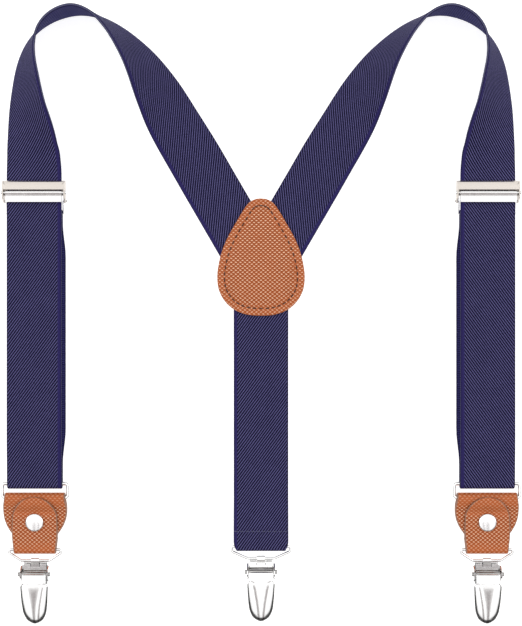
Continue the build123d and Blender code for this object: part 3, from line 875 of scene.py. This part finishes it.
def patch_leather():
    """Front leather: rounded edge, sewn groove, top raised over the straps."""
    rings = [(0.55, -LEATHER + 0.02), (0.10, -0.95), (0.0, -0.6), (0.08, -0.28), (0.35, -0.06), (0.8, 0.0),
             (1.5, 0.02), (2.2, 0.02), (2.75, -0.03), (3.1, -0.20), (3.4, -0.28), (3.75, -0.18),
             (4.15, 0.06), (4.7, 0.22)]
    verts, grains, spots = [], [], []
    n = PATCH_STEPS
    for inset, drop in rings:
        for k, p in enumerate(outline_at(inset)):
            pull = 0.0
            if 2.9 < inset < 3.9:
                pull = -0.10 * (0.5 + 0.5 * math.cos(2 * math.pi * STITCHES * k / n))
            z = patch_top(p.x, p.y) + drop + pull
            verts.append(Vector((p.x, p.y + SHIFT, z)))
            spots.append((p.x, p.y))
            grains.append(0.55 if inset > 0.3 else 0.1)
    inner = outline_at(4.7)
    domes = 22
    for j in range(1, domes + 1):
        f = 1 - (j / domes) ** 1.15 if j < domes else 0
        for p in inner:
            q = PATCH_MIDDLE + (p - PATCH_MIDDLE) * f
            rise = 0.22 + 0.75 * (1 - f * f)
            valley = -0.16 * math.exp(-(q.x / 3.5) ** 2) * (1 - f ** 4)
            rough = 0.05 * noise.noise(Vector((q.x * 0.25, q.y * 0.25, 3.0)))
            verts.append(Vector((q.x, q.y + SHIFT, patch_top(q.x, q.y) + rise + valley + rough)))
            spots.append((q.x, q.y))
            grains.append(1.0)
            if f == 0:
                break
    bands = len(rings) + domes - 2
    edge_bands = 3
    last = bands * n
    faces = ring_faces(bands + 1, n)
    faces += [(last + k, last + (k + 1) % n, last + n) for k in range(n)]
    faces.append(tuple(range(n)))
    slots = [1] * (edge_bands * n) + [0] * ((bands - edge_bands + 1) * n) + [2]
    uvs = [[spots[v] for v in face] for face in faces]
    piece = make_mesh("back_patch_leather", verts, faces, [patch_grain, cut_edge, flesh], slots, uvs, grains,
                      sharp_deg=60)
    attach(piece, "shoulders")
    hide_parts("back_patch_front")


def patch_lining():
    """Back leather under the straps."""
    rings = [(0.9, 1.18), (0.35, 1.12), (0.05, 0.9), (0.0, 0.6), (0.05, 0.3), (0.35, 0.08), (0.9, 0.03)]
    verts, spots = [], []
    n = PATCH_STEPS
    for inset, z in rings:
        for p in outline_at(inset):
            verts.append(Vector((p.x, p.y + SHIFT, z)))
            spots.append((p.x, p.y))
    faces = ring_faces(len(rings), n)
    faces.append(tuple(range(n)))
    faces.append(tuple(range((len(rings) - 1) * n, len(rings) * n)))
    slots = [0] * n + [1] * (4 * n) + [0] * n + [2, 0]
    uvs = [[spots[v] for v in face] for face in faces]
    piece = make_mesh("back_patch_lining", verts, faces, [patch_grain, cut_edge, flesh], slots, uvs,
                      [0.6] * len(verts), sharp_deg=60)
    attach(piece, "shoulders")
    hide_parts("back_patch_back")


patch_leather()
patch_lining()
seam = outline_at(STITCH_INSET)
stitch_points = []
for k in range(STITCHES):
    j = k * PATCH_STEPS // STITCHES
    p = seam[j]
    heading = (seam[(j + 1) % PATCH_STEPS] - seam[j - 1]).normalized()
    slope = (patch_top(*(p + heading)) - patch_top(*(p - heading))) / 2
    stitch_points.append((Vector((p.x, p.y + SHIFT, patch_top(p.x, p.y) - 0.28)),
                          Vector((heading.x, heading.y, slope)).normalized()))
stitch_line("back_patch_sewing", "shoulders", "back_patch_stitches", patch_thread, stitch_points)


# ---- metal

BAND_HALF = 12.9  # half length of the adjuster's top band, between its ears
RECESS_TOP = 1.2  # the floor of a clip's base lies below this; faces looking up from below it are painted near black as shade
# the free edge of the adjuster's lever: how far from its pin, and how much it is raised
FREE_EDGE = 3.5
FREE_EDGE_RISE = 0.55


def recess(face):
    """Faces looking up from deep inside a clip, painted near black as shade."""
    return face.normal.z > 0.5 and face.calc_center_median().z < RECESS_TOP * MM


def ears(face):
    """The adjuster's two sides, brighter than its top band, whose warm darker tone is a painted reflection.
    """
    return abs(abs(face.calc_center_median().x) - abs(front_x) * MM) > BAND_HALF * MM


def eased(node, body, material, width_mm=0.12, other=None, where=None, cuts=()):
    """A copy of a CAD node with its sharp edges eased; other covers the faces that where picks."""
    source = frame["nodes"][node]
    mesh = source.data.copy()
    mesh.name = node + "_eased"
    if mesh.attributes.get("custom_normal"):
        mesh.attributes.remove(mesh.attributes["custom_normal"])
    bm = bmesh.new()
    bm.from_mesh(mesh)
    bmesh.ops.remove_doubles(bm, verts=bm.verts, dist=2e-6)
    bmesh.ops.dissolve_limit(bm, angle_limit=math.radians(0.6), verts=bm.verts, edges=bm.edges)
    for x in cuts:
        bmesh.ops.bisect_plane(bm, geom=bm.verts[:] + bm.edges[:] + bm.faces[:],
                               plane_co=(x * MM, 0, 0), plane_no=(1, 0, 0))
    bmesh.ops.recalc_face_normals(bm, faces=bm.faces)
    for edge in bm.edges:
        edge.smooth = True
    for face in bm.faces:
        face.material_index = 1 if where and where(face) else 0
    bm.to_mesh(mesh)
    bm.free()
    mesh.materials.clear()
    mesh.materials.append(material)
    if other:
        mesh.materials.append(other)
    mesh.shade_smooth()
    obj = link(node + "_metal", mesh)
    bevel = obj.modifiers.new("Ease", "BEVEL")
    bevel.width = width_mm * MM
    bevel.segments = 3
    bevel.limit_method = "ANGLE"
    bevel.angle_limit = math.radians(30)
    bevel.harden_normals = True
    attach(obj, body)
    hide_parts(node)
    return obj


def flatten_flap(lever, pin):
    """Raise the free edge of an adjuster's lever, so that its flap lies flatter."""
    for vertex in lever.data.vertices:
        if vertex.co.y < (pin.y - FREE_EDGE) * MM:
            vertex.co.z += FREE_EDGE_RISE * MM


def dress(node, material):
    """A CAD node keeps its shape and takes this material."""
    obj = frame["nodes"][node]
    if obj.material_slots:
        for held in obj.material_slots:
            held.link = "OBJECT"
            held.material = material
    else:
        obj.data.materials.append(material)


# the clip's shell by distance from its wire: half width, top, foot and squareness of its section
FLAP_WIDTH = [(-28.7, 0.5), (-28.5, 1.9), (-28.1, 3.0), (-27.4, 4.1), (-26.4, 5.05), (-25.1, 5.85),
              (-23.6, 6.45), (-21.7, 6.85), (-18.7, 7.2), (-14.5, 7.3), (-11.2, 7.3), (-10.3, 7.15),
              (-9.6, 6.7), (-9.2, 5.9), (-8.9, 5.55), (-4.6, 5.55)]
FLAP_CROWN = [(-28.7, 2.75), (-28.5, 3.2), (-28.1, 3.6), (-27.4, 4.15), (-26.4, 4.8), (-25.1, 5.4),
              (-23.6, 5.95), (-21.7, 6.4), (-18.7, 6.9), (-14.5, 7.14), (-11.2, 7.1), (-9.6, 7.02),
              (-8.9, 6.98), (-6.3, 6.75), (-4.6, 6.3)]
FLAP_FOOT = [(-28.7, 1.5), (-9.7, 1.4), (-9.35, 3.0), (-9.1, 5.4), (-8.8, 6.35), (-4.6, 5.75)]
FLAP_SQUARE = [(-28.7, 2.0), (-24.8, 2.1), (-18.7, 2.6), (-12.4, 3.6), (-9.4, 4.6), (-4.6, 7.0)]
FLAP_DROP = 1.0  # the tables' zero is this far below the wire
FLAP_STATIONS = [-4.6, -5.4, -6.2, -7.0, -7.8, -8.4, -8.7, -8.95, -9.1, -9.25, -9.4, -9.6, -9.9, -10.3,
                 -10.8, -11.6, -12.6, -13.8, -15.2, -16.6, -18.0, -19.5, -20.8, -22.0, -23.0, -24.0,
                 -24.8, -25.6, -26.3, -26.9, -27.4, -27.8, -28.1, -28.3, -28.5, -28.62, -28.7]
KNUCKLE_HALF = 5.55


def clip_shell(side, bar):
    """Domed lever shell with its neck, open underneath."""
    count = 33
    verts, faces = [], []
    for s in FLAP_STATIONS:
        w, c = between(FLAP_WIDTH, s), between(FLAP_CROWN, s)
        foot, power = between(FLAP_FOOT, s), between(FLAP_SQUARE, s)
        for k in range(count):
            t = math.pi * k / (count - 1)
            cx, sz = math.cos(t), math.sin(t)
            px = w * math.copysign(abs(cx) ** (2 / power), cx)
            pz = foot + (c - foot) * max(sz, 0) ** (2 / (power * 0.85 + 0.4))
            verts.append(Vector((bar.x + px, bar.y - FLAP_DROP + s, pz)))
    for i in range(len(FLAP_STATIONS) - 1):
        for k in range(count - 1):
            a = i * count + k
            faces.append((a, a + 1, a + count + 1, a + count))
    end = (len(FLAP_STATIONS) - 1) * count
    faces.append(tuple(end + k for k in range(count)))
    piece = make_mesh(f"{side}_clip_shell", verts, faces, [nickel], sharp_deg=60)
    bm = bmesh.new()
    bm.from_mesh(piece.data)
    if sum(f.normal.z * f.calc_area() for f in bm.faces) < 0:
        bmesh.ops.reverse_faces(bm, faces=bm.faces)
    bm.to_mesh(piece.data)
    bm.free()
    thick = piece.modifiers.new("Sheet", "SOLIDIFY")
    thick.thickness = 0.5 * MM
    thick.offset = -1
    thick.use_even_offset = False
    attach(piece, f"{side}_clip_flap")
    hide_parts(f"{side}_clip_flap")


def clip_knuckle(side, bar):
    """The shell's rolled end, a tube round the pin."""
    pin = joint_at(f"{side}_clip_flap_lift")
    half, shoulder = KNUCKLE_HALF, KNUCKLE_HALF - 0.25
    profile = [(-half, 0.78), (-half, 1.05), (-shoulder, 1.3), (shoulder, 1.3), (half, 1.05), (half, 0.78)]
    sides = 40
    verts = []
    for px, r in profile:
        for k in range(sides):
            a = 2 * math.pi * k / sides
            verts.append(Vector((bar.x + px, pin.y + r * math.cos(a), pin.z + r * math.sin(a))))
    faces = ring_faces(len(profile), sides, closed=True)
    # the knuckle's darker steel is painted shade
    piece = make_mesh(f"{side}_clip_knuckle", verts, faces, [painted_shade_steel], sharp_deg=50)
    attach(piece, f"{side}_clip_flap")


for side in ("left", "right", "back"):
    bar = joint_at(f"{side}_clip_swing")
    clip_shell(side, bar)
    clip_knuckle(side, bar)
    # the base's upward faces deep inside take the near black painted shade
    eased(f"{side}_clip_base", f"{side}_clip", nickel, 0.14, other=recess_painted_shade, where=recess)
    eased(f"{side}_clip_jaw", f"{side}_clip_jaw", nickel, 0.12)
    dress(f"{side}_clip_loop", nickel)
    # the pin's darker steel is painted shade
    dress(f"{side}_clip_pin", painted_shade_steel)
    dress(f"{side}_clip_pad", grip)
for side in ("left", "right"):
    middle = joint_at(f"{side}_ring_swing").x
    # the top band takes the painted reflection, the ears the polished nickel
    eased(f"{side}_adjuster_frame", f"{side}_adjuster", satin_painted_reflection, 0.16, other=nickel, where=ears,
          cuts=(middle - BAND_HALF, middle + BAND_HALF))
    lever = eased(f"{side}_adjuster_lever", f"{side}_adjuster_lever", nickel, 0.12)
    flatten_flap(lever, joint_at(f"{side}_adjuster_lever_lift"))
    for part in ("adjuster_pin", "adjuster_loop", "ring", "rivet_back"):
        dress(f"{side}_{part}", nickel)
    dress(f"{side}_return_stitches", navy_thread)


# ---- floor, light and camera


def floor():
    """Plain white table, just under the object."""
    size = 3.0
    corners = [(-size, -size, 0), (size, -size, 0), (size, size, 0), (-size, size, 0)]
    mesh = bpy.data.meshes.new("table")
    mesh.from_pydata(corners, [], [(0, 1, 2, 3)])
    obj = link("table", mesh)
    obj.location.z = -0.0001
    look = Look("table_white", 0.6, Emission_Color=rgb(1, 1, 1), Emission_Strength=0.8)
    cloud = look.noise(look.object_mm(), 0.01)
    look.set(Base_Color=look.mix(cloud, rgb(0.60, 0.60, 0.60), rgb(0.64, 0.64, 0.64)))
    mesh.materials.append(look.material)


# the dark screens by direction: middle and half width in x, the y they begin at, how fast they darken
SCREEN_X = 0.16
SCREEN_HALF = 0.085
SCREEN_START = -0.18
SCREEN_FADE = 12.0
SCREEN_SHADE = (0.30, 0.275, 0.275, 1)


def sky():
    """Bright above the horizon, with two dark screens for the metal to reflect."""
    world = bpy.data.worlds.new("studio")
    bpy.context.scene.world = world
    world.use_nodes = True
    tree = world.node_tree
    where = tree.nodes.new("ShaderNodeTexCoord")
    split = tree.nodes.new("ShaderNodeSeparateXYZ")
    ramp = tree.nodes.new("ShaderNodeValToRGB")
    tree.links.new(where.outputs["Generated"], split.inputs[0])
    tree.links.new(split.outputs[2], ramp.inputs[0])
    stops = [(0.0, 0.05), (0.38, 0.07), (0.48, 1.05), (0.72, 1.2), (0.93, 1.3), (0.985, 1.25), (1.0, 1.15)]
    while len(ramp.color_ramp.elements) < len(stops):
        ramp.color_ramp.elements.new(0.5)
    for element, (at, level) in zip(ramp.color_ramp.elements, stops):
        element.position = at
        element.color = (level, level, level, 1)

    def calc(operation, *values):
        """One step of arithmetic; subtractions are kept within 0..1."""
        made = tree.nodes.new("ShaderNodeMath")
        made.operation = operation
        made.use_clamp = operation == "SUBTRACT"
        for value, socket in zip(values, made.inputs):
            if isinstance(value, bpy.types.NodeSocket):
                tree.links.new(value, socket)
            else:
                socket.default_value = value
        return made.outputs[0]

    # one screen on each side of the middle, from near overhead towards the clips' end
    away = calc("ABSOLUTE", calc("ADD", calc("ABSOLUTE", split.outputs[0]), -SCREEN_X))
    across = calc("SUBTRACT", 1.0, calc("POWER", calc("DIVIDE", away, SCREEN_HALF), 3.0))
    past = calc("MAXIMUM", calc("ADD", split.outputs[1], -SCREEN_START), 0.0)
    near = calc("SUBTRACT", 1.0, calc("MULTIPLY", past, SCREEN_FADE))
    screen = calc("MULTIPLY", across, near)
    shade = tree.nodes.new("ShaderNodeMix")
    shade.data_type = "RGBA"
    shade.blend_type = "MULTIPLY"
    tree.links.new(screen, shade.inputs[0])
    tree.links.new(ramp.outputs[0], shade.inputs[6])
    shade.inputs[7].default_value = SCREEN_SHADE
    tree.links.new(shade.outputs[2], tree.nodes["Background"].inputs[0])
    tree.nodes["Background"].inputs[1].default_value = 1.0


def softbox(name, place, size, power):
    """A rectangular light aimed at the object."""
    light = bpy.data.lights.new(name, "AREA")
    light.shape = "RECTANGLE"
    light.size, light.size_y = size
    light.energy = power
    obj = bpy.data.objects.new(name, light)
    bpy.context.scene.collection.objects.link(obj)
    obj.location = place
    obj.rotation_euler = (Vector((0, 0, 0)) - Vector(place)).to_track_quat("-Z", "Y").to_euler()


def camera():
    """Straight above, at the photograph's viewing angle."""
    data = bpy.data.cameras.new("camera")
    data.sensor_width = 36
    data.lens = 77.38
    data.clip_start = 0.01
    obj = bpy.data.objects.new("camera", data)
    bpy.context.scene.collection.objects.link(obj)
    obj.location = (0, SHIFT * MM, 0.627)
    bpy.context.scene.camera = obj


floor()
sky()
softbox("left_softbox", (-0.75, 0.15, 0.55), (0.5, 0.9), 1.5)
softbox("right_softbox", (0.75, 0.15, 0.55), (0.5, 0.9), 1.5)
camera()
bpy.context.scene.view_settings.view_transform = "Standard"
